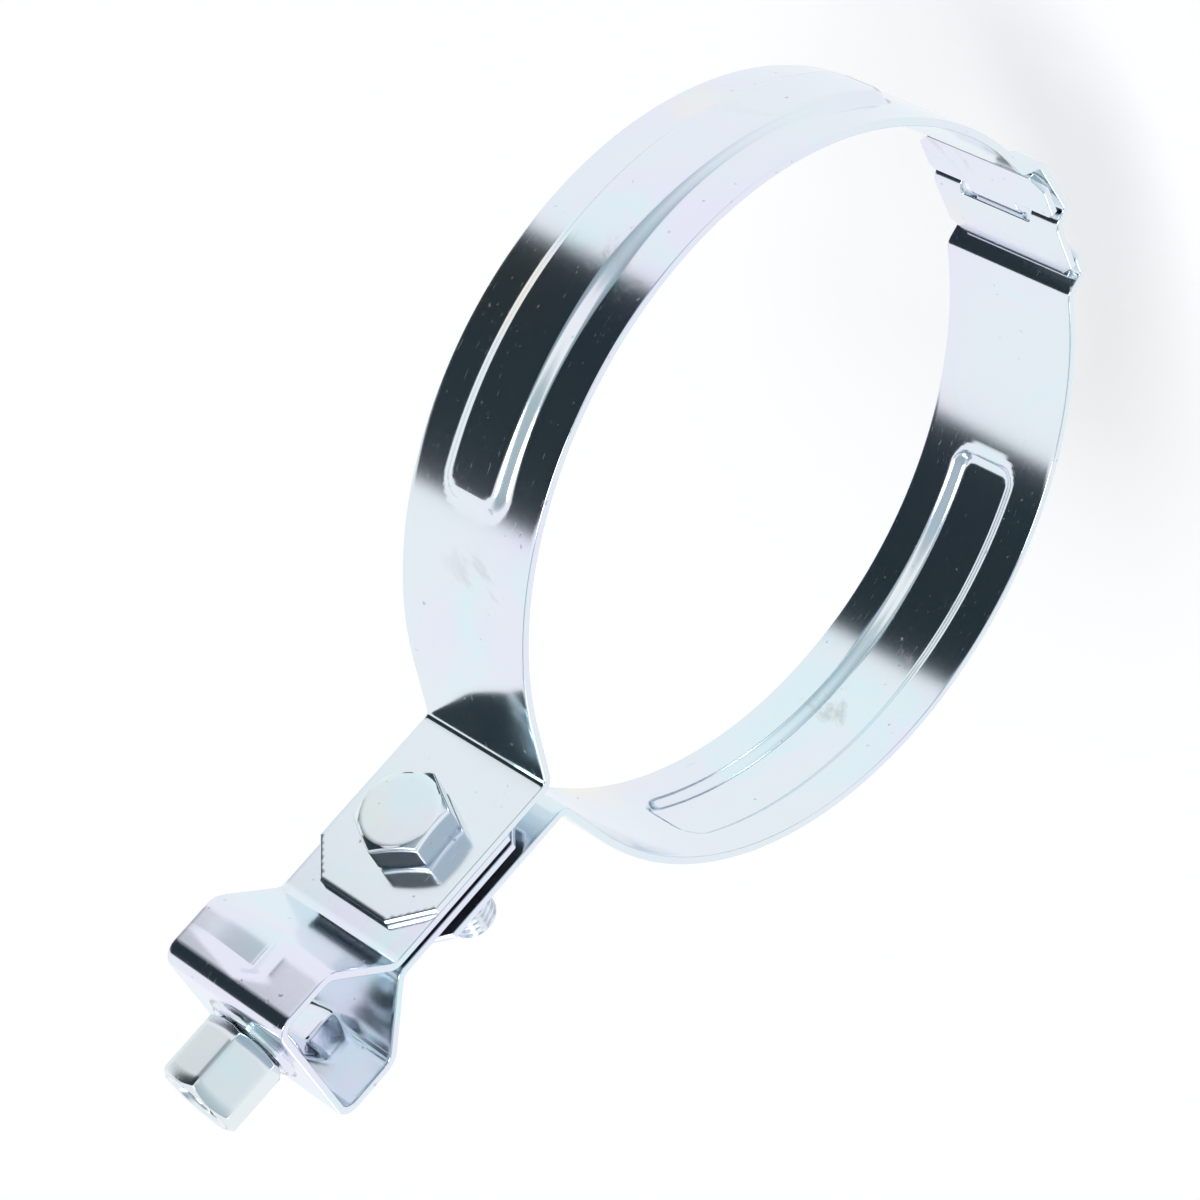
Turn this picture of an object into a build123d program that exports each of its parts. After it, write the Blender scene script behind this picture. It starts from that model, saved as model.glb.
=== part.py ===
from build123d import *
from build123d.topology import SkipClean
import os
from math import cos, radians, sin, sqrt, tan

# Hinged pipe hanger: two sheet-metal half rings hooked together at the bottom, drawn together
# by a bolt at the top, and hung by a bent yoke with a swivelling nut for a threaded rod.
# Frame: the origin is the centre of the pipe seat, +Y runs along the pipe, +Z runs up the rod
# and +X is the side of the bolt head. Millimetres and degrees.

# Sheet and half rings
sheet = 1.25  # thickness of the strip of all three sheet pieces
strip_width = 25.0
pipe_seat_radius = 57.5  # for a 114.3 mm pipe
bend_inside = 0.8  # inside radius of the sharp bends
neck_angle = 14.0  # from the rod axis, where the ring leaves its circle towards the ear

# Long stiffening rib pressed outwards into each half ring
rib_start_angle = 44.0  # from the rod axis
right_rib_end_angle = 139.0
left_rib_end_angle = 133.0
rib_height = 1.5
rib_base_width = 12.6
rib_crest_width = 9.0
rib_corner_radius = 3.0  # as far as the width of the rib's flanks allows it
groove_inset = 0.45  # by which the rib's groove is narrower than its ridge, on each side

# Ears and clamping bolt
bolt_rise = 18.0  # of the bolt's axis above the pipe
ear_spread = 8.0  # over the outer faces of the two ears
ear_length = 13.5  # from the bolt's axis to the ear's end
ear_chamfer = 5.6
bolt_clearance_radius = 4.5  # holes of both ears and of the yoke, for an 8 mm thread
bolt_core_radius = 3.3  # core of the thread
bolt_length = 24.5
bolt_tip_chamfer = 0.9
bolt_head_height = 5.5
bolt_across_flats = 13.0  # of the bolt's head and the captive nut
bolt_head_turn = 2.5
captive_nut_height = 6.5
captive_nut_bore_radius = 4.1  # plain, and clear of the bolt's thread
hex_chamfer_inset = 0.2  # from a hexagon's flats to the flat circle its 30 degree chamfer leaves

# Hook of the right half: a joggle, an outer shelf, a slope and an inner tongue, with a slot that
# runs from the joggle to the tongue. Places are on the face towards the pipe, and drops are
# measured outwards from the pipe seat's lowest point.
joggle_start = 15.3
joggle_lead = 1.5
right_shelf_start = 12.0
right_shelf_start_drop = 1.75
right_shelf_end = 1.2
right_shelf_end_drop = 3.4
tongue_start = -0.4
tongue_drop = 0.6
tongue_end = -12.4
tongue_chamfer = 2.3
slot_start = 13.4
slot_end = -1.9
slot_width = 13.8
slot_edge_radius = 0.6  # rounds the slot's end, which is the hinge

# Hook of the left half, which passes its neck through the slot of the right half. Places are
# measured towards the left half's own side.
hinge_gap = 0.2  # between the slot's rounded end and the neck's bend around it
left_shelf_start = 12.6
neck_shoulder = 6.4
neck_width = 9.5
neck_slope = 45.0
head_start = -1.3
head_drop = 0.8
head_end = -9.7
head_chamfer = 2.3
head_heel_chamfer = 1.0
shoulder_chamfer = 2.9

# Yoke
ear_play = 0.05  # between the right ear and the yoke's ear beside it
yoke_ear_gap = 0.85  # between the yoke's own ears
yoke_ear_length = 11.0  # from the bolt's axis to the ear's end
yoke_ear_chamfer = 4.0
yoke_neck_rise = 17.2  # of the neck's bend above the bolt's axis
yoke_shoulder_rise = 8.5  # of the shoulder above the neck's bend
yoke_wall_height = 11.1  # from the shoulder to the top
yoke_half_width = 12.5
yoke_neck_bend = 1.6
yoke_shoulder_bend = 3.6
yoke_corner_bend = 2.8
boss_radius = 7.8
boss_crest_radius = 7.0
boss_height = 0.8
yoke_hole_radius = 5.4

# Gusset pressed into each shoulder of the yoke
gusset_depth = 1.7
gusset_near_reach = 4.0  # along the pipe, from its deepest line towards -Y
gusset_far_reach = 8.5  # towards +Y
gusset_height = 5.4  # of its full depth above the shoulder
gusset_end_run = 1.6  # over which it runs out into the wall

# Swivelling nut of the threaded rod
rod_nut_play = 0.2  # along the rod, above and below the yoke's plate
rod_nut_across_flats = 12.0
rod_nut_hex_height = 11.0
rod_nut_turn = 38.0
rod_nut_neck_radius = 5.1
rod_nut_flange_radius = 7.2
rod_nut_flange_height = 2.2
rod_bore_radius = 3.4
rod_bore_countersink = 1.0

overlap = 0.5  # how far cutting and joined bodies run past a face
tiny = 0.01  # tolerance for picking an edge by its place or size
land_split = 5.0  # degrees inside the rib's ends, where the seat's face is split into its lands

ring_outer_radius = pipe_seat_radius + sheet
seat_bottom = -pipe_seat_radius
bolt_height = pipe_seat_radius + bolt_rise
ear_inner_face = ear_spread / 2 - sheet
ear_top = bolt_height + ear_length
yoke_ear_end = bolt_height - yoke_ear_length
yoke_neck_height = bolt_height + yoke_neck_rise
yoke_shoulder_height = yoke_neck_height + yoke_shoulder_rise
yoke_top = yoke_shoulder_height + yoke_wall_height
gusset_top = yoke_shoulder_height + gusset_height
hinge_x = slot_end - slot_edge_radius
hinge_z = seat_bottom - tongue_drop - sheet / 2
outer_bend = bend_inside + sheet


def ring_point(angle):
    """Point of the pipe seat at an angle from the rod axis, on the bolt head's side."""
    return (pipe_seat_radius * sin(radians(angle)), pipe_seat_radius * cos(radians(angle)))


def ring_point_at(x):
    """Point on the lower half of the pipe seat at a distance x from the rod axis."""
    return (x, -sqrt(pipe_seat_radius**2 - x**2))


def strip(path, metal_point):
    """A bent strip whose one face follows a path in the XZ plane and whose metal holds a point."""
    profiles = [
        make_face(path.offset_2d(sheet, side=side, closed=True)) for side in (Side.LEFT, Side.RIGHT)
    ]
    profile = next(face for face in profiles if face.is_inside(Vector(*metal_point)))
    return extrude(Plane.XZ * profile, strip_width / 2, both=True)


def prism_down(points, top, bottom):
    """Upright prism over an outline in X and Y."""
    outline = Plane.XY.offset(bottom) * make_face(Polyline(*points, close=True))
    return extrude(outline, top - bottom)


def rib_body(radius, height, base, crest, start, end):
    """Ring sector with sloping flanks and ends, standing on a radius."""
    slope = (base - crest) / 2 / height
    root = overlap * slope
    section = Polyline(
        (radius - overlap, -base / 2 - root),
        (radius + height, -crest / 2),
        (radius + height, crest / 2),
        (radius - overlap, base / 2 + root),
        close=True,
    )
    sector = revolve(Rot(Y=start - 90) * make_face(section), Axis.Y, end - start)
    end_cuts = Part()
    for angle, sign in ((start, 1), (end, -1)):
        corner = Polyline(
            (-base, radius - base),
            (-root, radius - overlap),
            ((base - crest) / 2, radius + height),
            ((base - crest) / 2, radius + base),
            (-base, radius + base),
            close=True,
        )
        wedge = extrude(Plane.XZ * make_face(corner), base, both=True)
        wedge = wedge if sign > 0 else mirror(wedge, about=Plane.YZ)
        end_cuts += Rot(Y=angle) * wedge
    body = sector - end_cuts
    corners = [
        edge for edge in body.edges()
        if height < edge.length < 3 * height and abs(edge.center().Y) > crest / 2 - overlap
    ]
    flanks = base - crest
    return fillet(corners, min(rib_corner_radius, flanks))


def ring_sector(start, end):
    """Plain piece of the ring between two angles."""
    section = Polyline(
        (pipe_seat_radius, -strip_width / 2),
        (ring_outer_radius, -strip_width / 2),
        (ring_outer_radius, strip_width / 2),
        (pipe_seat_radius, strip_width / 2),
        close=True,
    )
    return revolve(Rot(Y=start - 90) * make_face(section), Axis.Y, end - start)


def pressed_rib(band, end_angle):
    """Press the long rib outwards into a half ring."""
    lands = ring_sector(rib_start_angle + land_split, end_angle - land_split)
    ridge = rib_body(
        ring_outer_radius, rib_height, rib_base_width, rib_crest_width, rib_start_angle, end_angle
    )
    groove_base = rib_base_width - 2 * groove_inset
    groove_crest = rib_crest_width - 2 * groove_inset
    groove = rib_body(
        pipe_seat_radius, rib_height, groove_base, groove_crest, rib_start_angle, end_angle
    )
    return band - lands + (lands + ridge - groove) + ridge - groove


def half_ring(hook_points, hook_radii, rib_end_angle):
    """Half ring on the bolt head's side: ear, neck, ring, rib and the bends of its hook."""
    start = ring_point(neck_angle)
    rise = (start[0] - ear_inner_face) * tan(radians(neck_angle))
    ear = FilletPolyline(
        (ear_inner_face, ear_top), (ear_inner_face, start[1] + rise), start, radius=outer_bend
    )
    end = ring_point_at(joggle_start)
    ring = ThreePointArc(start, (pipe_seat_radius, 0), end)
    lead = (
        end[0] + joggle_lead * end[1] / pipe_seat_radius,
        end[1] - joggle_lead * end[0] / pipe_seat_radius,
    )
    hook = FilletPolyline(end, lead, *hook_points, radius=hook_radii)
    path = Wire([*ear.edges(), *ring.edges(), *hook.edges()])
    band = strip(path, (pipe_seat_radius + sheet / 2, 0))
    return pressed_rib(band, rib_end_angle) - ear_corner_cuts(ear_top, ear_chamfer, 1)


def ear_corner_cuts(end, size, outwards):
    """Cutters for the two corners of an ear that ends at a height, upwards (1) or downwards (-1)."""
    edge = strip_width / 2
    corner = Polyline(
        (edge - size - overlap, end + outwards * overlap),
        (edge + overlap, end - outwards * (size + overlap)),
        (edge + overlap, end + outwards * overlap),
        close=True,
    )
    cut = extrude(Plane.YZ * make_face(corner), ear_spread, both=True)
    return cut + mirror(cut, about=Plane.XZ)


def bolt_hole():
    """Cutter along the clamping bolt's axis, across all the ears."""
    return Pos(0, 0, bolt_height) * Rot(Y=90) * Cylinder(bolt_clearance_radius, 2 * ear_spread)


def corner_prism(end, edge, size, inwards):
    """Cutter for a corner of a strip's end, whose metal lies inwards (1 or -1) along X."""
    margin = sheet
    side = 1 if edge > 0 else -1
    outline = (
        (end - inwards * margin, edge - side * (size + margin)),
        (end + inwards * (size + margin), edge + side * margin),
        (end - inwards * margin, edge + side * margin),
    )
    return prism_down(outline, 0, seat_bottom - 2 * right_shelf_end_drop)


def make_right_band():
    points = (
        (right_shelf_start, seat_bottom - right_shelf_start_drop),
        (right_shelf_end, seat_bottom - right_shelf_end_drop),
        (tongue_start, seat_bottom - tongue_drop),
        (tongue_end, seat_bottom - tongue_drop),
    )
    radii = (outer_bend, bend_inside, bend_inside, outer_bend)
    band = half_ring(points, radii, right_rib_end_angle)
    half_slot = slot_width / 2
    band -= prism_down(
        (
            (slot_start, -half_slot), (slot_start, half_slot),
            (slot_end, half_slot), (slot_end, -half_slot),
        ),
        seat_bottom + 2 * sheet, seat_bottom - 2 * right_shelf_end_drop,
    )
    slot_edges = [
        edge for edge in band.edges().filter_by(Axis.Y)
        if abs(edge.center().X - slot_end) < tiny and abs(edge.length - slot_width) < tiny
    ]
    band = fillet(slot_edges, slot_edge_radius)
    for edge in (strip_width / 2, -strip_width / 2):
        band -= corner_prism(tongue_end, edge, tongue_chamfer, 1)
    return band - bolt_hole()


def make_left_band():
    shelf_height = hinge_z - slot_edge_radius - hinge_gap
    neck_bend = slot_edge_radius + hinge_gap
    head_height = seat_bottom - head_drop
    shelf_end = -hinge_x - neck_bend * tan(radians(neck_slope / 2))
    head_corner = shelf_end - (head_height - shelf_height) / tan(radians(neck_slope))
    points = (
        (left_shelf_start, shelf_height),
        (shelf_end, shelf_height),
        (head_corner, head_height),
        (head_end, head_height),
    )
    radii = (outer_bend, bend_inside, neck_bend, outer_bend)
    band = half_ring(points, radii, left_rib_end_angle)
    edge = strip_width / 2
    notch = (
        (head_start, neck_width / 2),
        (neck_shoulder, neck_width / 2),
        (neck_shoulder, edge - shoulder_chamfer),
        (neck_shoulder + shoulder_chamfer + sheet, edge + sheet),
        (head_start - head_heel_chamfer - sheet, edge + sheet),
        (head_start, edge - head_heel_chamfer),
    )
    cut = prism_down(notch, 0, seat_bottom - 2 * right_shelf_end_drop)
    cut += corner_prism(head_end, edge, head_chamfer, 1)
    band -= cut + mirror(cut, about=Plane.XZ)
    band -= bolt_hole()
    return mirror(band, about=Plane.YZ)


def chamfered_hexagon(across_flats, height, turn):
    """Hexagon standing on XY, with both ends chamfered at 30 degrees."""
    corner_radius = across_flats / sqrt(3)
    chamfer_radius = across_flats / 2 - hex_chamfer_inset
    chamfer_rise = (corner_radius - chamfer_radius) * tan(radians(30))
    prism = extrude(Rot(Z=turn) * RegularPolygon(corner_radius, 6), height)
    outline = Polyline(
        (0, 0),
        (chamfer_radius, 0),
        (corner_radius, chamfer_rise),
        (corner_radius, height - chamfer_rise),
        (chamfer_radius, height),
        (0, height),
        close=True,
    )
    return prism & revolve(Plane.XZ * make_face(outline), Axis.Z)


def make_clamp_bolt():
    head = chamfered_hexagon(bolt_across_flats, bolt_head_height, bolt_head_turn)
    shank = Pos(0, 0, -bolt_length / 2) * Cylinder(bolt_core_radius, bolt_length)
    shank = chamfer(shank.edges().group_by(Axis.Z)[0], bolt_tip_chamfer)
    return Pos(ear_spread / 2, 0, bolt_height) * Rot(Y=90) * (head + shank)


def make_captive_nut():
    nut = chamfered_hexagon(bolt_across_flats, captive_nut_height, bolt_head_turn)
    nut -= Cylinder(captive_nut_bore_radius, 3 * captive_nut_height)
    return Pos(-ear_spread / 2, 0, bolt_height) * Rot(Y=-90) * nut


def gusset_wedge(shift):
    """Wedge that dents a shoulder of the yoke, moved towards the rod by a distance."""
    wall = yoke_half_width - shift
    reach = overlap / gusset_depth
    outline = Polyline(
        (wall + overlap, -gusset_near_reach * (1 + reach)),
        (wall - gusset_depth, 0),
        (wall + overlap, gusset_far_reach * (1 + reach)),
        close=True,
    )
    low = yoke_neck_height
    body = extrude(Plane.XY.offset(low) * make_face(outline), gusset_top + gusset_end_run - low)
    end = Polyline(
        (wall - gusset_depth, gusset_top),
        (wall + overlap, gusset_top + gusset_end_run * (1 + reach)),
        (wall - gusset_depth, gusset_top + gusset_end_run * (1 + reach)),
        close=True,
    )
    return body - extrude(Plane.XZ * make_face(end), strip_width, both=True)


def pressed_shoulders(yoke, path):
    """Press both shoulders of the yoke inwards, keeping the thickness of its wall."""
    outline = make_face(Wire([*path.edges(), Line(path @ 1, path @ 0)]))
    inside = extrude(Plane.XZ * outline, strip_width / 2, both=True) - yoke
    dent = gusset_wedge(0)
    wall = gusset_wedge(sheet) - dent
    yoke -= dent + mirror(dent, about=Plane.YZ)
    return yoke + ((wall + mirror(wall, about=Plane.YZ)) & inside)


def make_yoke():
    right_face = ear_inner_face - ear_play
    left_face = right_face - 2 * sheet - yoke_ear_gap
    path = FilletPolyline(
        (right_face, yoke_ear_end),
        (right_face, yoke_neck_height),
        (yoke_half_width, yoke_shoulder_height),
        (yoke_half_width, yoke_top),
        (-yoke_half_width, yoke_top),
        (-yoke_half_width, yoke_shoulder_height),
        (left_face, yoke_neck_height),
        (left_face, yoke_ear_end),
        radius=(
            yoke_neck_bend, yoke_shoulder_bend, yoke_corner_bend,
            yoke_corner_bend, yoke_shoulder_bend, yoke_neck_bend,
        ),
    )
    yoke = pressed_shoulders(strip(path, (0, yoke_top - sheet / 2)), path)
    yoke -= ear_corner_cuts(yoke_ear_end, yoke_ear_chamfer, -1)
    boss = Pos(0, 0, yoke_top + boss_height / 2) * Cone(boss_radius, boss_crest_radius, boss_height)
    dish = Pos(0, 0, -sheet) * boss
    yoke = yoke + boss - dish
    yoke -= Pos(0, 0, yoke_top) * Cylinder(yoke_hole_radius, 4 * sheet)
    return yoke - bolt_hole()


def make_rod_nut():
    plate_low = yoke_top - sheet + boss_height
    plate_high = yoke_top + boss_height
    hexagon = Pos(0, 0, plate_high + rod_nut_play) * chamfered_hexagon(
        rod_nut_across_flats, rod_nut_hex_height, rod_nut_turn
    )
    neck_length = sheet + 2 * rod_nut_play
    neck = Pos(0, 0, (plate_low + plate_high) / 2) * Cylinder(rod_nut_neck_radius, neck_length)
    flange_middle = plate_low - rod_nut_play - rod_nut_flange_height / 2
    flange = Pos(0, 0, flange_middle) * Cylinder(
        rod_nut_flange_radius, rod_nut_flange_height
    )
    nut = hexagon + neck + flange
    nut -= Pos(0, 0, yoke_top) * Cylinder(rod_bore_radius, 4 * rod_nut_hex_height)
    mouths = nut.edges().filter_by(GeomType.CIRCLE).filter_by(
        lambda edge: abs(edge.radius - rod_bore_radius) < tiny
    )
    return chamfer(mouths, rod_bore_countersink)


# The seat keeps the faces it is drawn with, so that each land beside the rib is one of its own.
with SkipClean():
    right_band = make_right_band()
    left_band = make_left_band()

parts = {
    "right_band": right_band,
    "left_band": left_band,
    "clamp_bolt": make_clamp_bolt(),
    "captive_nut": make_captive_nut(),
    "yoke": make_yoke(),
    "rod_nut": make_rod_nut(),
}

os.makedirs("parts", exist_ok=True)
for name, part in parts.items():
    export_step(part, f"parts/{name}.step")
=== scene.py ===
import math

import bpy
import numpy as np
from mathutils import Matrix, Vector
from mathutils.geometry import delaunay_2d_cdt


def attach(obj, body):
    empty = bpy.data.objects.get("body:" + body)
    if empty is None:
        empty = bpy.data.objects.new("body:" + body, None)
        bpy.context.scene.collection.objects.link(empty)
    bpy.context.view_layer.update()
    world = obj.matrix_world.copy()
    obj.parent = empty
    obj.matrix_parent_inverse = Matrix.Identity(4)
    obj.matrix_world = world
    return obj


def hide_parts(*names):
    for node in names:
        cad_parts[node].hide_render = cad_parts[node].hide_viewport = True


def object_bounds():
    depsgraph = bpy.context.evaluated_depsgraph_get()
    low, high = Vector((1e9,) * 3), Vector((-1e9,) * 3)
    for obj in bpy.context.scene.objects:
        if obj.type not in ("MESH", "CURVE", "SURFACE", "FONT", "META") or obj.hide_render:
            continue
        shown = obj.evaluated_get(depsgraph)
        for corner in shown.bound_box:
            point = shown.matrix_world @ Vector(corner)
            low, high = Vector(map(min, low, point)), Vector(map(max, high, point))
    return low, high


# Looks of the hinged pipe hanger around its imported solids. The sheet pieces are built here from
# flat outlines that are bent, pressed and given rounded sheared edges. The solids keep the sizes.
# Lengths in this script are millimetres until a mesh is written.

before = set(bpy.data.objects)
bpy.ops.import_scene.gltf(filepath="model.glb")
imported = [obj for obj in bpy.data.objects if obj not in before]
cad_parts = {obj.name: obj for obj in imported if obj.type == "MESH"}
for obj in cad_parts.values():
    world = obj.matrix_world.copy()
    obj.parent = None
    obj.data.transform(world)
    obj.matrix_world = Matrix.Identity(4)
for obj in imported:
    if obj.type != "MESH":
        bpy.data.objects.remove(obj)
cad_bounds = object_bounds()

MM = 0.001

# Sizes shared with the solids
SHEET = 1.25
WIDTH = 25.0
SEAT_R = 57.5
SEAT_BOTTOM = -SEAT_R
NECK_ANGLE = 14.0
EAR_FACE = 2.75
EAR_TOP = 89.0
EAR_CHAMFER = 5.6
BOLT_Z = 75.5
HOLE_R = 4.5
JOGGLE_START = 15.3
JOGGLE_LEAD = 1.5
TONGUE_DROP = 0.6
SLOT_START = 13.4
SLOT_END = -1.9
SLOT_WIDTH = 13.8
SLOT_EDGE_R = 0.6
HINGE_GAP = 0.2
HINGE_X = SLOT_END - SLOT_EDGE_R
HINGE_Z = SEAT_BOTTOM - TONGUE_DROP - SHEET / 2
BEND = 0.8
OUTER_BEND = BEND + SHEET
RIB_START = 44.0
RIB_END = {"right_band": 139.0, "left_band": 133.0}


# Bent paths
class BentPath:
    """Middle line of a bent sheet in the XZ plane, from the corners of its one face.

    The metal lies to the left of the direction of travel.
    """

    def __init__(self):
        self.runs = []
        self.length = 0.0

    def line(self, start, end):
        start, end = np.array(start, float), np.array(end, float)
        size = np.linalg.norm(end - start)
        if size < 1e-6:
            return
        along = (end - start) / size
        normal = np.array([-along[1], along[0]])
        self.runs.append(("line", self.length, size, start + normal * SHEET / 2, along))
        self.length += size

    def arc(self, centre, radius, begin, sweep):
        """Arc of the face path; a positive sweep turns left, about a centre in the metal."""
        middle = radius - math.copysign(SHEET / 2, sweep)
        size = abs(sweep) * middle
        self.runs.append(("arc", self.length, size, np.array(centre, float), middle, begin, sweep))
        self.length += size

    def corners(self, points, radii):
        """Straight runs through corner points, rounded at the inner ones."""
        points = [np.array(point, float) for point in points]
        start = points[0]
        for before, here, after, radius in zip(points, points[1:], points[2:], radii):
            into = (here - before) / np.linalg.norm(here - before)
            out = (after - here) / np.linalg.norm(after - here)
            turn = math.atan2(into[0] * out[1] - into[1] * out[0], into @ out)
            reach = radius * math.tan(abs(turn) / 2)
            begin = here - into * reach
            self.line(start, begin)
            side = math.copysign(1.0, turn)
            centre = begin + side * radius * np.array([-into[1], into[0]])
            spoke = begin - centre
            self.arc(centre, radius, math.atan2(spoke[1], spoke[0]), turn)
            start = here + out * reach
        self.line(start, points[-1])

    def at(self, s):
        """Point and metal-side normal at distances s along the middle line."""
        s = np.atleast_1d(np.asarray(s, float))
        point = np.zeros((len(s), 2))
        normal = np.zeros((len(s), 2))
        for index, run in enumerate(self.runs):
            low = -1e9 if index == 0 else run[1]
            high = 1e9 if index == len(self.runs) - 1 else run[1] + run[2]
            mask = (s >= low) & (s < high)
            along = s[mask] - run[1]
            if run[0] == "line":
                point[mask] = run[3] + along[:, None] * run[4]
                normal[mask] = [-run[4][1], run[4][0]]
            else:
                _, _, size, centre, radius, begin, sweep = run
                angle = begin + sweep * along / size
                spoke = np.stack([np.cos(angle), np.sin(angle)], axis=1)
                point[mask] = centre + radius * spoke
                normal[mask] = -math.copysign(1.0, sweep) * spoke
        return point, normal

    def stations(self, step, bend_step):
        """Distances that give each run its own rows, closer together in tight bends."""
        places = [0.0]
        for run in self.runs:
            tight = run[0] == "arc" and run[4] < 10
            count = max(1, int(math.ceil(run[2] / (bend_step if tight else step))))
            places += [run[1] + run[2] * (i + 1) / count for i in range(count)]
        return np.array(places)

    def where(self, axis, value, first=0.0, last=None):
        """Distance at which the middle line first passes a value of x (0) or z (1)."""
        s = np.linspace(first, self.length if last is None else last, 6001)
        track = self.at(s)[0][:, axis] - value
        hits = np.nonzero(track[:-1] * track[1:] <= 0)[0]
        return s[hits[0]]


def ring_point(angle):
    return (SEAT_R * math.sin(math.radians(angle)), SEAT_R * math.cos(math.radians(angle)))


def half_ring_path(hook_points, hook_radii):
    """Path of a half ring on the bolt head's side, as the solid's source draws it."""
    path = BentPath()
    start = ring_point(NECK_ANGLE)
    rise = (start[0] - EAR_FACE) * math.tan(math.radians(NECK_ANGLE))
    path.corners([(EAR_FACE, EAR_TOP), (EAR_FACE, start[1] + rise), start], [OUTER_BEND])
    end = (JOGGLE_START, -math.sqrt(SEAT_R**2 - JOGGLE_START**2))
    begin = math.atan2(start[1], start[0])
    path.ring_start = path.length
    path.arc((0, 0), SEAT_R, begin, math.atan2(end[1], end[0]) - begin)
    path.ring_end = path.length
    lead = (
        end[0] + JOGGLE_LEAD * end[1] / SEAT_R,
        end[1] - JOGGLE_LEAD * end[0] / SEAT_R,
    )
    path.corners([end, lead, *hook_points], hook_radii)
    return path


# Flat outlines
def dense(points, step):
    """Closed outline with points added along its sides."""
    out = []
    for here, after in zip(points, points[1:] + points[:1]):
        here, after = np.array(here, float), np.array(after, float)
        count = max(1, int(round(np.linalg.norm(after - here) / step)))
        out += [here + (after - here) * i / count for i in range(count)]
    return np.array(out)


def soften(points, radius, segments=4):
    """Closed outline with its corners rounded a little, as shearing leaves them."""
    out = []
    count = len(points)
    for i in range(count):
        before, here, after = (np.array(points[(i + k) % count], float) for k in (-1, 0, 1))
        into = (here - before) / np.linalg.norm(here - before)
        away = (after - here) / np.linalg.norm(after - here)
        turn = math.acos(max(-1.0, min(1.0, into @ away)))
        if turn < 0.2:
            out.append(tuple(here))
            continue
        reach = min(
            radius * math.tan(turn / 2),
            np.linalg.norm(here - before) * 0.4,
            np.linalg.norm(after - here) * 0.4,
        )
        for k in range(segments + 1):
            t = k / segments
            spot = (
                (1 - t) ** 2 * (here - into * reach)
                + 2 * t * (1 - t) * here
                + t**2 * (here + away * reach)
            )
            out.append(tuple(spot))
    return out


def circle(centre, radius, count=64):
    return [
        (centre[0] + radius * math.cos(a), centre[1] + radius * math.sin(a))
        for a in np.linspace(0, 2 * math.pi, count, endpoint=False)
    ]


def inside(points, loop):
    """Which points lie inside a closed outline."""
    x, y = points[:, 0], points[:, 1]
    result = np.zeros(len(points), bool)
    ax, ay = loop[:, 0], loop[:, 1]
    bx, by = np.roll(ax, -1), np.roll(ay, -1)
    for i in range(len(loop)):
        if ay[i] == by[i]:
            continue
        cross = (ay[i] > y) != (by[i] > y)
        edge = ax[i] + (y - ay[i]) * (bx[i] - ax[i]) / (by[i] - ay[i])
        result ^= cross & (x < edge)
    return result


def distance_to(points, loop):
    """Distance of points to the nearest side of a closed outline."""
    best = np.full(len(points), 1e9)
    for here, after in zip(loop, np.roll(loop, -1, axis=0)):
        side = after - here
        size2 = side @ side
        if size2 < 1e-12:
            continue
        t = np.clip(((points - here) @ side) / size2, 0, 1)
        best = np.minimum(best, np.linalg.norm(points - here - t[:, None] * side, axis=1))
    return best


def signed_area(loop):
    x, y = loop[:, 0], loop[:, 1]
    return 0.5 * np.sum(x * np.roll(y, -1) - np.roll(x, -1) * y)


def offset_loop(loop, distance):
    """Loop moved to the left of its direction by a distance."""
    before = loop - np.roll(loop, 1, axis=0)
    after = np.roll(loop, -1, axis=0) - loop
    before /= np.linalg.norm(before, axis=1)[:, None]
    after /= np.linalg.norm(after, axis=1)[:, None]
    left_a = np.stack([-before[:, 1], before[:, 0]], axis=1)
    left_b = np.stack([-after[:, 1], after[:, 0]], axis=1)
    bisector = left_a + left_b
    bisector /= np.linalg.norm(bisector, axis=1)[:, None]
    scale = 1 / np.maximum(0.5, np.sum(bisector * left_a, axis=1))
    return loop + bisector * (distance * scale)[:, None]


# Mesh helpers
def add_object(name, vertices, faces, body, material, uvs=None, sharp_angle=32.0):
    """Mesh object in metres that rides on a body and shades smooth up to an angle."""
    mesh = bpy.data.meshes.new(name)
    mesh.from_pydata([tuple(v) for v in np.asarray(vertices) * MM], [], [tuple(f) for f in faces])
    mesh.validate()
    for polygon in mesh.polygons:
        polygon.use_smooth = True
    if uvs is not None:
        layer = mesh.uv_layers.new(name="strip")
        index = np.zeros(len(mesh.loops), np.int32)
        mesh.loops.foreach_get("vertex_index", index)
        layer.data.foreach_set("uv", (np.asarray(uvs)[index] * 0.01).ravel())
    mesh.set_sharp_from_angle(angle=math.radians(sharp_angle))
    mesh.materials.append(material)
    mesh.update()
    thing = bpy.data.objects.new(name, mesh)
    bpy.context.scene.collection.objects.link(thing)
    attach(thing, body)
    return thing


EDGE_R = 0.24  # rounding of sheared edges
EDGE_STEPS = 4


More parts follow.
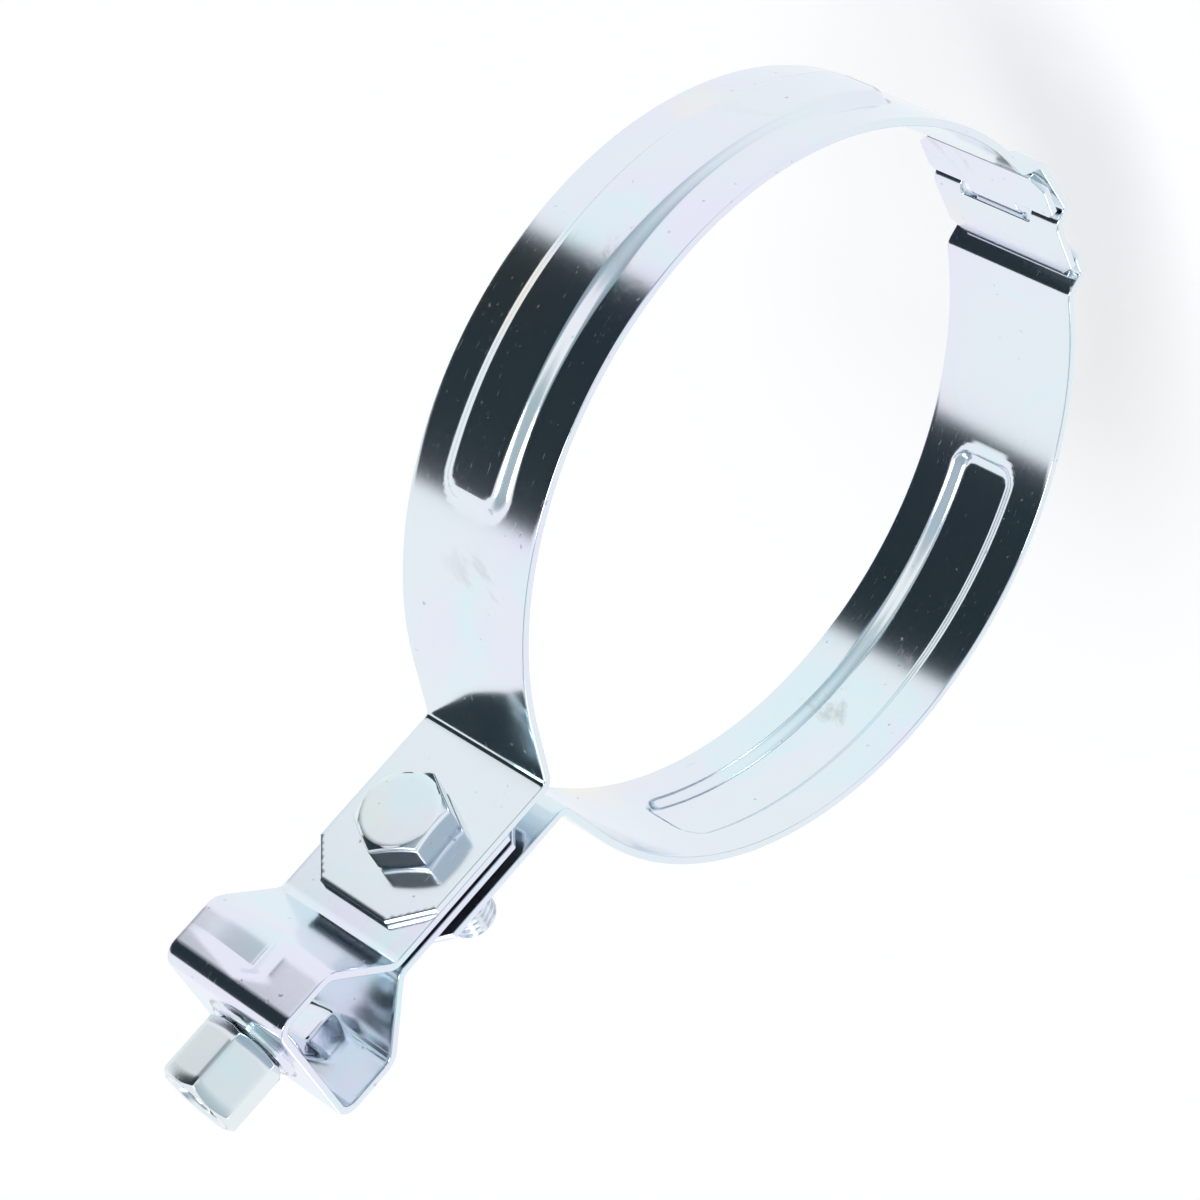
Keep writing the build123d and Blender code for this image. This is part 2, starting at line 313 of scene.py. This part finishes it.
def sheet_piece(name, path, outer, holes, press, step, cross, body, material, flip=False):
    """Bent and pressed sheet from its flat outline.

    press(s, y, point, normal) gives how far both faces rise along the normal, and a shift in XZ.
    """
    loops = [dense(soften(outer, 0.25), 0.55)] + [dense(hole, 0.5) for hole in holes]
    if signed_area(loops[0]) < 0:
        loops[0] = loops[0][::-1]
    loops = [loops[0]] + [loop[::-1] if signed_area(loop) > 0 else loop for loop in loops[1:]]
    inset = [offset_loop(loop, EDGE_R) for loop in loops]

    rows = path.stations(step, 0.3)
    columns = np.linspace(-WIDTH / 2 + cross, WIDTH / 2 - cross, int(WIDTH / cross) - 1)
    grid = np.array([(s, y) for s in rows for y in columns])
    keep = inside(grid, inset[0])
    for loop in inset[1:]:
        keep &= ~inside(grid, loop)
    grid = grid[keep]
    for loop in inset:
        grid = grid[distance_to(grid, loop) > 0.45 * cross]

    flat = np.vstack(inset + [grid])
    constraints = []
    start = 0
    for loop in inset:
        count = len(loop)
        constraints += [(start + i, start + (i + 1) % count) for i in range(count)]
        start += count
    result = delaunay_2d_cdt([Vector(p) for p in flat], constraints, [], 0, 1e-5)
    points = np.array([tuple(p) for p in result[0]])
    source = {}
    for index, origins in enumerate(result[3]):
        for origin in origins:
            source[origin] = index
    triangles = np.array(result[2])
    middles = points[triangles].mean(axis=1)
    good = inside(middles, inset[0])
    for loop in inset[1:]:
        good &= ~inside(middles, loop)
    triangles = triangles[good]

    def place(flat_points, height):
        point, normal = path.at(flat_points[:, 0])
        lift, shift = press(flat_points[:, 0], flat_points[:, 1], point, normal)
        spot = point + normal * (height + lift)[:, None] + shift
        return np.stack([spot[:, 0], flat_points[:, 1], spot[:, 1]], axis=1)

    half = SHEET / 2
    vertices = [place(points, np.full(len(points), half)), place(points, np.full(len(points), -half))]
    uvs = [points, points + [0, 40.0]]
    faces = [tuple(t) for t in triangles]
    count = len(points)
    faces += [tuple(t[::-1] + count) for t in triangles]
    total = 2 * count
    bends = np.linspace(0, math.pi / 2, EDGE_STEPS + 1)[1:]
    levels = [(EDGE_R * (1 - math.sin(b)), half - EDGE_R * (1 - math.cos(b))) for b in bends]
    levels += [(out, -height) for out, height in reversed(levels)]
    start = 0
    for number, (loop, ring) in enumerate(zip(loops, inset)):
        size = len(loop)
        previous = np.array([source[start + i] for i in range(size)])
        last = previous + count
        for out, height in levels:
            ring_flat = loop + (ring - loop) * (out / EDGE_R)
            vertices.append(place(ring_flat, np.full(size, height)))
            uvs.append(ring_flat + [0, 80.0])
            current = np.arange(total, total + size)
            total += size
            following = np.roll(current, -1)
            before = np.roll(previous, -1)
            faces += list(zip(previous, current, following, before))
            previous = current
        before, after = np.roll(previous, -1), np.roll(last, -1)
        faces += list(zip(previous, last, after, before))
        start += size
    vertices = np.vstack(vertices)
    if flip:
        vertices = vertices * [-1, 1, 1]
        faces = [face[::-1] for face in faces]
    return add_object(name, vertices, faces, body, material, np.vstack(uvs), 50.0)


def smooth(t):
    t = np.clip(t, 0, 1)
    return t * t * (3 - 2 * t)


def rounded_box(s, y, half_s, half_y, radius):
    """Signed distance to a rounded rectangle around the origin, negative inside."""
    qs = np.abs(s) - half_s + radius
    qy = np.abs(y) - half_y + radius
    outside = np.hypot(np.maximum(qs, 0), np.maximum(qy, 0))
    return outside + np.minimum(np.maximum(qs, qy), 0) - radius


# Material
def link_chain(tree):
    """Short makers for nodes of one tree."""
    nodes, links = tree.nodes, tree.links

    def put(kind, values=(), **settings):
        node = nodes.new(kind)
        for key, value in settings.items():
            setattr(node, key, value)
        for key, value in dict(values).items():
            socket = node.inputs[key]
            if isinstance(value, bpy.types.NodeSocket):
                links.new(value, socket)
            else:
                socket.default_value = value
        return node

    def maths(operation, *values, clamp=False):
        node = put("ShaderNodeMath", dict(enumerate(values)), operation=operation, use_clamp=clamp)
        return node.outputs[0]

    def mix(factor, a, b, blend="MIX"):
        node = nodes.new("ShaderNodeMix")
        node.data_type = "RGBA"
        node.blend_type = blend
        for socket, value in ((0, factor), (6, a), (7, b)):
            if isinstance(value, bpy.types.NodeSocket):
                links.new(value, node.inputs[socket])
            else:
                node.inputs[socket].default_value = value
        return node.outputs[2]

    def step(value, low, high, out_low=0.0, out_high=1.0):
        node = put(
            "ShaderNodeMapRange",
            {0: value, 1: low, 2: high, 3: out_low, 4: out_high},
            interpolation_type="SMOOTHSTEP",
        )
        return node.outputs[0]

    return put, maths, mix, step


def rgba(red, green, blue):
    return (red, green, blue, 1.0)


def zinc(name, seed, strip=True, grain=1.0, stains=1.0, roughness=0.13, tint=(0.80, 0.86, 0.90)):
    """Bright zinc plate: faint passivation colours, rolled grain, specks, scratches and stains."""
    material = bpy.data.materials.new(name)
    material.use_nodes = True
    tree = material.node_tree
    tree.nodes.clear()
    put, maths, mix, step = link_chain(tree)
    place = put("ShaderNodeTexCoord")
    solid = put(
        "ShaderNodeMapping", {"Vector": place.outputs["Object"], "Location": (seed, seed * 0.7, 0)}
    ).outputs[0]
    flat = place.outputs["UV"] if strip else solid

    def noise(vector, scale, detail=3.0, rough=0.5, distortion=0.0):
        return put(
            "ShaderNodeTexNoise",
            {"Vector": vector, "Scale": scale, "Detail": detail, "Roughness": rough,
             "Distortion": distortion},
        ).outputs["Fac"]

    # passivation colours drift slowly over the surface
    drift = noise(solid, 22.0, 2.0)
    drift_b = noise(solid, 48.0, 3.0, 0.6, 1.2)
    lavender = mix(step(drift, 0.45, 0.68), rgba(*tint), rgba(0.82, 0.82, 0.93))
    cool = mix(step(drift_b, 0.50, 0.72), lavender, rgba(0.74, 0.88, 0.92))
    warm = mix(step(noise(solid, 31.0, 2.0), 0.60, 0.78), cool, rgba(0.90, 0.87, 0.80))

    # dull stains where the plating bath dried
    stain = maths(
        "MULTIPLY",
        step(noise(solid, 60.0, 5.0, 0.62, 0.6), 0.60, 0.70),
        step(noise(solid, 14.0, 1.0), 0.50, 0.62),
    )
    stain = maths("MULTIPLY", stain, 0.55 * stains)
    stained = mix(stain, warm, rgba(0.52, 0.50, 0.48))

    # rolled grain along the strip, and stray scratches across it
    lined = put(
        "ShaderNodeMapping", {"Vector": flat, "Scale": (12.0, 900.0, 60.0)}
    ).outputs[0]
    lines = noise(lined, 1.0, 4.0, 0.7)
    turned = put(
        "ShaderNodeMapping",
        {"Vector": flat, "Rotation": (0.3, 0.2, 0.9), "Scale": (35.0, 700.0, 35.0)},
    ).outputs[0]
    scratch = step(noise(turned, 1.0, 2.0, 0.6, 0.4), 0.70, 0.76)
    turned_b = put(
        "ShaderNodeMapping",
        {"Vector": flat, "Rotation": (-0.2, 0.4, -0.5), "Scale": (30.0, 800.0, 30.0)},
    ).outputs[0]
    scratch_b = step(noise(turned_b, 1.0, 2.0, 0.6, 0.3), 0.71, 0.77)
    scratches = maths("MAXIMUM", scratch, scratch_b)

    # small pits and specks of dust in the plating
    cells = put(
        "ShaderNodeTexVoronoi", {"Vector": solid, "Scale": 420.0, "Randomness": 1.0}
    ).outputs["Distance"]
    sparse = step(noise(solid, 900.0, 1.0), 0.60, 0.66)
    specks = maths("MULTIPLY", step(cells, 0.20, 0.06), sparse)
    colour = mix(maths("MULTIPLY", specks, 0.45), stained, rgba(0.25, 0.26, 0.27))

    rough = maths("MULTIPLY_ADD", lines, 0.10 * grain, roughness - 0.04 * grain)
    rough = maths("MULTIPLY_ADD", stain, 0.35, rough)
    rough = maths("MULTIPLY_ADD", scratches, 0.14, rough)
    rough = maths("MULTIPLY_ADD", specks, 0.25, rough)

    height = maths("MULTIPLY", lines, 0.25 * grain)
    height = maths("MULTIPLY_ADD", noise(solid, 160.0, 3.0, 0.55), 1.3, height)
    height = maths("MULTIPLY_ADD", scratches, -0.35, height)
    height = maths("MULTIPLY_ADD", specks, -0.9, height)
    bump = put("ShaderNodeBump", {"Height": height, "Strength": 0.5, "Distance": 0.000012})

    shader = put(
        "ShaderNodeBsdfPrincipled",
        {"Base Color": colour, "Metallic": 1.0, "Roughness": rough, "Normal": bump.outputs[0]},
    )
    put("ShaderNodeOutputMaterial", {"Surface": shader.outputs[0]})
    return material


strip_a = zinc("zinc_strip_right", 0.0)
strip_b = zinc("zinc_strip_left", 1.3)
strip_c = zinc("zinc_strip_yoke", 2.9)
fastener = zinc(
    "zinc_fastener", 4.1, strip=False, grain=0.3, stains=0.5, roughness=0.17,
    tint=(0.80, 0.85, 0.87),
)

# Sheet pieces
FULL_STEP = 0.9
FULL_CROSS = 0.42

RIB_HEIGHT = 1.5
RIB_CREST_HALF = 4.5
RIB_FLANK = 1.8


def rib_press(path, node):
    """Outward shift for the long pressed rib of a half ring."""
    middle_r = SEAT_R + SHEET / 2
    per_degree = middle_r * math.pi / 180
    first = path.ring_start + (RIB_START - NECK_ANGLE) * per_degree
    last = path.ring_start + (RIB_END[node] - NECK_ANGLE) * per_degree
    centre = (first + last) / 2
    half = (last - first) / 2 - RIB_FLANK

    def press(s, y, point, normal):
        away = rounded_box(s - centre, y, half, RIB_CREST_HALF, 2.2)
        lift = RIB_HEIGHT * (1 - smooth((away + 0.3) / (RIB_FLANK + 0.5)))
        return lift, np.zeros_like(point)

    return press


def ear_outline(length, tail):
    """Half outline (y above zero) from the ear's end to the hook's end, closed by mirroring."""
    half = [(0.0, WIDTH / 2 - EAR_CHAMFER), (EAR_CHAMFER, WIDTH / 2), *tail]
    return half + [(s, -y) for s, y in reversed(half)]


def make_right_band():
    path = half_ring_path(
        [(12.0, SEAT_BOTTOM - 1.75), (1.2, SEAT_BOTTOM - 3.4),
         (-0.4, SEAT_BOTTOM - TONGUE_DROP), (-12.4, SEAT_BOTTOM - TONGUE_DROP)],
        [OUTER_BEND, BEND, BEND, OUTER_BEND],
    )
    size = path.length
    outline = ear_outline(size, [(size - 2.3, WIDTH / 2), (size, WIDTH / 2 - 2.3)])
    slot_a = path.where(0, SLOT_START, path.ring_end)
    slot_b = path.where(0, SLOT_END, path.ring_end)
    half = SLOT_WIDTH / 2
    slot = soften([(slot_a, -half), (slot_b, -half), (slot_b, half), (slot_a, half)], 0.5)
    holes = [circle((EAR_TOP - BOLT_Z, 0), HOLE_R), slot]
    return sheet_piece(
        "right_band_sheet", path, outline, holes, rib_press(path, "right_band"),
        FULL_STEP, FULL_CROSS, "right_half", strip_a,
    )


def make_left_band():
    neck_bend = SLOT_EDGE_R + HINGE_GAP
    shelf_z = HINGE_Z - neck_bend
    head_z = SEAT_BOTTOM - 0.8
    shelf_end = -HINGE_X - neck_bend * math.tan(math.radians(22.5))
    path = half_ring_path(
        [(12.6, shelf_z), (shelf_end, shelf_z), (shelf_end - (head_z - shelf_z), head_z),
         (-9.7, head_z)],
        [OUTER_BEND, BEND, neck_bend, OUTER_BEND],
    )
    size = path.length
    shoulder = path.where(0, 6.4, path.ring_end)
    head = path.where(0, -1.3, path.ring_end)
    half = WIDTH / 2
    outline = ear_outline(size, [
        (shoulder - 2.9, half), (shoulder, half - 2.9), (shoulder, 4.75), (head, 4.75),
        (head, half - 1.0), (head + 1.0, half), (size - 2.3, half), (size, half - 2.3),
    ])
    holes = [circle((EAR_TOP - BOLT_Z, 0), HOLE_R)]
    return sheet_piece(
        "left_band_sheet", path, outline, holes, rib_press(path, "left_band"),
        FULL_STEP, FULL_CROSS, "left_half", strip_b, flip=True,
    )


YOKE_RIGHT_FACE = EAR_FACE - 0.05
YOKE_LEFT_FACE = YOKE_RIGHT_FACE - 2 * SHEET - 0.85
YOKE_END = 64.5
YOKE_NECK = 92.7
YOKE_SHOULDER = 101.2
YOKE_TOP = 112.3
YOKE_HALF = 12.5
BOSS_HEIGHT = 0.8


def yoke_press(s, y, point, normal):
    """Boss round the rod's hole, and the gusset in each shoulder."""
    x, z = point[:, 0], point[:, 1]
    top = z > YOKE_TOP - 2 * SHEET
    radius = np.hypot(x, y)
    lift = np.where(top, -BOSS_HEIGHT * (1 - smooth((radius - 6.7) / 1.3)), 0.0)
    reach = np.where(y < 0, 4.0, 8.5)
    depth = 1.7 * (1 - np.abs(y) / reach) - np.maximum(0, z - 106.6) * 1.7 / 1.6
    excess = np.abs(x) - (YOKE_HALF - SHEET / 2 - depth)
    softness = 0.22
    press = softness * np.log1p(np.exp(np.clip(excess / softness, -30, 30)))
    press = np.where(top, 0.0, press)
    shift = np.stack([-np.sign(x) * press, np.zeros_like(x)], axis=1)
    return lift, shift


def make_yoke():
    path = BentPath()
    path.corners(
        [(YOKE_RIGHT_FACE, YOKE_END), (YOKE_RIGHT_FACE, YOKE_NECK), (YOKE_HALF, YOKE_SHOULDER),
         (YOKE_HALF, YOKE_TOP), (-YOKE_HALF, YOKE_TOP), (-YOKE_HALF, YOKE_SHOULDER),
         (YOKE_LEFT_FACE, YOKE_NECK), (YOKE_LEFT_FACE, YOKE_END)],
        [1.6, 3.6, 2.8, 2.8, 3.6, 1.6],
    )
    size = path.length
    cut = 4.0
    half = WIDTH / 2
    outline = [(0, half - cut), (cut, half), (size - cut, half), (size, half - cut)]
    outline = outline + [(s, -y) for s, y in reversed(outline)]
    up = BOLT_Z - YOKE_END
    rise = path.where(1, YOKE_TOP - SHEET / 2)
    middle = path.where(0, 0.0, rise, size * 0.6)
    holes = [
        circle((up, 0), HOLE_R), circle((size - up, 0), HOLE_R), circle((middle, 0), 5.4)
    ]
    return sheet_piece(
        "yoke_sheet", path, outline, holes, yoke_press,
        FULL_STEP * 0.6, FULL_CROSS, "yoke", strip_c,
    )


right_sheet = make_right_band()
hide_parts("right_band")
left_sheet = make_left_band()
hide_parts("left_band")
yoke_sheet = make_yoke()
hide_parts("yoke")

# Fasteners
BOLT_FLATS = 13.0
ROD_NUT_FLATS = 12.0
CHAMFER_INSET = 0.2
PITCH = 1.25


def hex_loop(flats, turn, corner=0.35, side_points=9, corner_points=5):
    """Points round a hexagon with slightly rounded corners."""
    half = flats / 2
    spots = []
    for k in range(6):
        axis = math.radians(60 * k + turn)
        centre = (half - corner) / math.cos(math.radians(30))
        for a in np.linspace(-30, 30, corner_points):
            b = axis + math.radians(a)
            spots.append((
                centre * math.cos(axis) + corner * math.cos(b),
                centre * math.sin(axis) + corner * math.sin(b),
            ))
        edge_a = spots[-1]
        axis_b = axis + math.radians(60)
        edge_b = (
            centre * math.cos(axis_b) + corner * math.cos(axis_b - math.radians(30)),
            centre * math.sin(axis_b) + corner * math.sin(axis_b - math.radians(30)),
        )
        for i in range(1, side_points):
            t = i / side_points
            spots.append(tuple(edge_a[j] + (edge_b[j] - edge_a[j]) * t for j in (0, 1)))
    return np.array(spots)


def round_ring(loop, radius, z):
    """Ring at a radius (number or one per point) and height, along the loop's directions."""
    angle = np.arctan2(loop[:, 1], loop[:, 0])
    radius = np.broadcast_to(radius, angle.shape)
    return np.stack(
        [radius * np.cos(angle), radius * np.sin(angle), np.broadcast_to(z, angle.shape)], axis=1
    )


def hex_rings(loop, low, high, rim=0.12):
    """Rings over a chamfered hexagon, from its upper flat to its lower flat."""
    outer = np.hypot(loop[:, 0], loop[:, 1])
    flat = outer.min() - CHAMFER_INSET
    rings = [round_ring(loop, flat - 0.25, high), round_ring(loop, flat, high - 0.03)]
    for t in (0.25, 0.5, 0.75, 1.0):
        radius = flat + (outer - rim - flat) * t
        rings.append(round_ring(loop, radius, high - (radius - flat) / math.sqrt(3)))
    drop = (outer - flat) / math.sqrt(3) + rim
    for t in np.linspace(0, 1, 7):
        rings.append(round_ring(loop, outer, (high - drop) * (1 - t) + (low + drop) * t))
    for t in (1.0, 0.75, 0.5, 0.25):
        radius = flat + (outer - rim - flat) * t
        rings.append(round_ring(loop, radius, low + (radius - flat) / math.sqrt(3)))
    rings += [round_ring(loop, flat, low + 0.03), round_ring(loop, flat - 0.25, low)]
    return rings


def thread_rings(loop, start, end, root, crest, step=0.14, cone=None):
    """Rings along a screw thread between two heights; crest may be inside the root, for a nut."""
    angle = np.arctan2(loop[:, 1], loop[:, 0])
    rings = []
    count = max(2, int(abs(end - start) / step))
    for z in np.linspace(start, end, count + 1):
        phase = (z / PITCH - angle / (2 * math.pi)) % 1.0
        ramp = np.clip((0.5 - np.abs(phase - 0.5)) / 0.44, 0, 1)
        radius = root + (crest - root) * np.clip(ramp * 1.15, 0, 1)
        if cone is not None:
            radius = cone(radius, z)
        rings.append(round_ring(loop, radius, z))
    return rings


def lathe(name, rings, body, matrix, closed=False, poles=None):
    """Surface through rings of equal count; closed joins the last ring to the first."""
    size = len(rings[0])
    vertices = list(np.vstack(rings))
    faces = []
    pairs = list(zip(range(len(rings)), range(1, len(rings))))
    if closed:
        pairs.append((len(rings) - 1, 0))
    for a, b in pairs:
        for i in range(size):
            j = (i + 1) % size
            faces.append((a * size + i, b * size + i, b * size + j, a * size + j))
    if poles is not None:
        for ring, spot, order in ((0, poles[0], 1), (len(rings) - 1, poles[1], -1)):
            tip = len(vertices)
            vertices.append(np.array(spot, float))
            for i in range(size):
                face = (tip, ring * size + i, ring * size + (i + 1) % size)
                faces.append(face[::order])
    vertices = np.array(vertices)
    turned = (np.array(matrix.to_3x3()) @ vertices.T).T + np.array(matrix.translation)
    return add_object(name, turned, faces, body, fastener, None, 34.0)


def make_rod_nut():
    loop = hex_loop(ROD_NUT_FLATS, 38.0)
    plate_low = YOKE_TOP - SHEET + BOSS_HEIGHT
    base = YOKE_TOP + BOSS_HEIGHT + 0.2
    top = base + 11.0
    flange_top = plate_low - 0.2
    flange_low = flange_top - 2.2
    bore, groove = 3.42, 3.95
    rings = [round_ring(loop, 4.4, top), round_ring(loop, 4.8, top), round_ring(loop, 5.6, top)]
    rings += hex_rings(loop, base, top)
    rings += [round_ring(loop, 5.4, base), round_ring(loop, 5.1, base - 0.15)]
    rings += [round_ring(loop, 5.1, flange_top + 0.1), round_ring(loop, 5.2, flange_top)]
    rings += [
        round_ring(loop, 7.2 - 0.5 + 0.5 * math.sin(a), flange_top - 0.5 + 0.5 * math.cos(a))
        for a in np.linspace(0, math.pi / 2, 5)
    ]
    rings += [
        round_ring(loop, 7.2 - 0.5 + 0.5 * math.cos(a), flange_low + 0.5 - 0.5 * math.sin(a))
        for a in np.linspace(0, math.pi / 2, 5)
    ]
    rings += [round_ring(loop, 4.8, flange_low), round_ring(loop, 4.4, flange_low)]
    rings += [round_ring(loop, 4.0, flange_low + 0.45)]

    def mouth(radius, z):
        widest = 4.4 - np.minimum(z - flange_low, top - z)
        return np.maximum(radius, widest)

    rings += thread_rings(loop, flange_low + 0.5, top - 0.45, bore, groove, cone=mouth)
    return lathe("rod_nut_body", rings, "rod_nut", Matrix.Identity(4), closed=True)


def make_captive_nut():
    loop = hex_loop(BOLT_FLATS, 2.5)
    high = 6.5
    rings = [round_ring(loop, 4.6, high), round_ring(loop, 5.2, high)]
    rings += hex_rings(loop, 0.0, high)
    rings += [round_ring(loop, 4.6, 0.0)]
    rings += thread_rings(loop, 0.45, high - 0.45, 4.1, 4.35)
    matrix = Matrix.Translation((-4.0, 0, BOLT_Z)) @ Matrix.Rotation(-math.pi / 2, 4, "Y")
    return lathe("captive_nut_body", rings, "left_half", matrix, closed=True)


def make_bolt():
    loop = hex_loop(BOLT_FLATS, 2.5)
    head = 5.5
    length = 24.5
    rings = [round_ring(loop, r, head) for r in (2.0, 4.0, 5.4)]
    rings += hex_rings(loop, 0.0, head)
    rings += [round_ring(loop, 4.9, 0.0), round_ring(loop, 4.0, -0.02), round_ring(loop, 3.7, -0.2)]
    tip = -length

    def taper(radius, z):
        end = 3.93 - np.maximum(0.0, tip + 1.0 - z) * 1.0
        start = 3.5 + np.maximum(0.0, -z - 1.2) * 0.8
        return np.minimum(np.minimum(radius, end), np.maximum(3.3, start))

    rings += thread_rings(loop, -0.5, tip + 0.05, 3.3, 3.93, cone=taper)
    rings += [round_ring(loop, 2.7, tip), round_ring(loop, 1.3, tip)]
    matrix = Matrix.Translation((4.0, 0, BOLT_Z)) @ Matrix.Rotation(math.pi / 2, 4, "Y")
    poles = ((0, 0, head), (0, 0, tip))
    return lathe("clamp_bolt_body", rings, "bolt", matrix, poles=poles)


rod_nut = make_rod_nut()
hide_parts("rod_nut")
captive_nut = make_captive_nut()
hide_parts("captive_nut")
bolt = make_bolt()
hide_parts("clamp_bolt")

# Camera
RIGHT = Vector((-0.33064, -0.69531, -0.63814))
DOWN = Vector((-0.57636, -0.38666, 0.71993))
FORWARD = Vector((-0.74732, 0.60584, -0.27291))
CAMERA_PLACE = Vector((425.11, -338.99, 184.98)) * MM
FOCAL_PIXELS = 3859.2
FRAME_PIXELS = 1200.0

camera_data = bpy.data.cameras.new("camera")
camera_data.sensor_width = 36.0
camera_data.sensor_fit = "HORIZONTAL"
camera_data.lens = FOCAL_PIXELS / FRAME_PIXELS * 36.0
camera_data.clip_start = 0.01
camera_data.clip_end = 50.0
camera = bpy.data.objects.new("camera", camera_data)
bpy.context.scene.collection.objects.link(camera)
camera.matrix_world = Matrix.Translation(CAMERA_PLACE) @ Matrix(
    (
        (RIGHT.x, -DOWN.x, -FORWARD.x),
        (RIGHT.y, -DOWN.y, -FORWARD.y),
        (RIGHT.z, -DOWN.z, -FORWARD.z),
    )
).to_4x4()
bpy.context.scene.camera = camera

# Studio, with its own fixed directions: the white table's side, the left and the top of the set.
AHEAD = tuple(FORWARD)
LEFT = tuple(-RIGHT)
ABOVE = tuple(-DOWN)


def make_world():
    """White surroundings for the eye; for gloss, a white side, a dark card and soft boxes."""
    world = bpy.data.worlds.new("studio")
    bpy.context.scene.world = world
    world.use_nodes = True
    tree = world.node_tree
    tree.nodes.clear()
    put, maths, mix, step = link_chain(tree)
    way = put("ShaderNodeTexCoord").outputs["Generated"]

    def part(direction):
        return put(
            "ShaderNodeVectorMath", {0: way, 1: direction}, operation="DOT_PRODUCT"
        ).outputs["Value"]

    ahead, left, above = part(AHEAD), part(LEFT), part(ABOVE)
    room = mix(step(left, -0.9, 0.7), rgba(0.62, 0.72, 0.76), rgba(0.30, 0.38, 0.42))
    lamp_side = mix(step(left, -0.30, -0.75), room, rgba(0.95, 0.98, 1.0))
    table = mix(step(ahead, -0.10, 0.10), lamp_side, rgba(0.96, 0.98, 1.0))
    top = mix(step(above, 0.74, 0.80), table, rgba(0.97, 0.98, 1.0))
    low = mix(
        maths("MULTIPLY", step(above, -0.10, -0.16), step(left, 0.2, 0.6)),
        top, rgba(0.97, 0.98, 1.0),
    )
    card = maths("MULTIPLY", step(ahead, 0.08, 0.02), step(left, 0.50, 0.60))
    card = maths("MULTIPLY", card, step(above, -0.16, -0.10))
    card = maths("MULTIPLY", card, step(above, 0.80, 0.74))
    dark = mix(card, low, rgba(0.020, 0.032, 0.040))
    box = maths("MULTIPLY", step(ahead, -0.93, -0.96), step(above, -0.2, 0.0))
    lit = mix(box, dark, rgba(1.0, 1.0, 1.0))

    path = put("ShaderNodeLightPath")
    shine = put("ShaderNodeBackground", {"Color": lit, "Strength": 1.0})
    plain = put("ShaderNodeBackground", {"Color": rgba(0.95, 0.97, 1.0), "Strength": 0.55})
    white = put("ShaderNodeBackground", {"Color": rgba(1.0, 1.0, 1.0), "Strength": 1.0})
    first = put(
        "ShaderNodeMixShader",
        {0: path.outputs["Is Glossy Ray"], 1: plain.outputs[0], 2: shine.outputs[0]},
    )
    second = put(
        "ShaderNodeMixShader",
        {0: path.outputs["Is Camera Ray"], 1: first.outputs[0], 2: white.outputs[0]},
    )
    put("ShaderNodeOutputWorld", {"Surface": second.outputs[0]})


make_world()


FLOOR_GAP = 26.5  # under the closed clamp, so that the left half stays above it when it hangs open
FLOOR_HALF = 6.0
FLOOR_GLOW = 0.30  # added for the eye alone, up to white


def make_floor():
    """White paper under the hanging clamp, with the clamp's shadow on it."""
    height = cad_bounds[0][2] - FLOOR_GAP * MM
    mesh = bpy.data.meshes.new("floor")
    mesh.from_pydata(
        [(x * FLOOR_HALF, y * FLOOR_HALF, height) for x, y in ((-1, -1), (1, -1), (1, 1), (-1, 1))],
        [], [(0, 1, 2, 3)],
    )
    floor = bpy.data.objects.new("floor", mesh)
    bpy.context.scene.collection.objects.link(floor)
    floor.visible_glossy = False
    material = bpy.data.materials.new("floor_paper")
    material.use_nodes = True
    tree = material.node_tree
    tree.nodes.clear()
    put, maths, mix, step = link_chain(tree)
    paper = put("ShaderNodeBsdfDiffuse", {"Color": rgba(0.86, 0.86, 0.86)})
    seen = put("ShaderNodeLightPath").outputs["Is Camera Ray"]
    glow = put("ShaderNodeEmission", {"Strength": maths("MULTIPLY", seen, FLOOR_GLOW)})
    both = put("ShaderNodeAddShader", {0: paper.outputs[0], 1: glow.outputs[0]})
    put("ShaderNodeOutputMaterial", {"Surface": both.outputs[0]})
    mesh.materials.append(material)


make_floor()


def wide_lamp(name, place, spread, strength):
    """Soft light from the direction of a place, as even on the floor as on the clamp."""
    data = bpy.data.lights.new(name, "SUN")
    data.angle = math.radians(spread)
    data.energy = strength
    lamp = bpy.data.objects.new(name, data)
    bpy.context.scene.collection.objects.link(lamp)
    lamp.location = place
    lamp.rotation_euler = (-Vector(place)).to_track_quat("-Z", "Y").to_euler()


wide_lamp("key", (0.9, -0.5, 1.1), 26.0, 0.93)
wide_lamp("fill", (-1.0, -0.8, 0.8), 38.0, 0.44)

view = bpy.context.scene.view_settings
view.view_transform = "Standard"
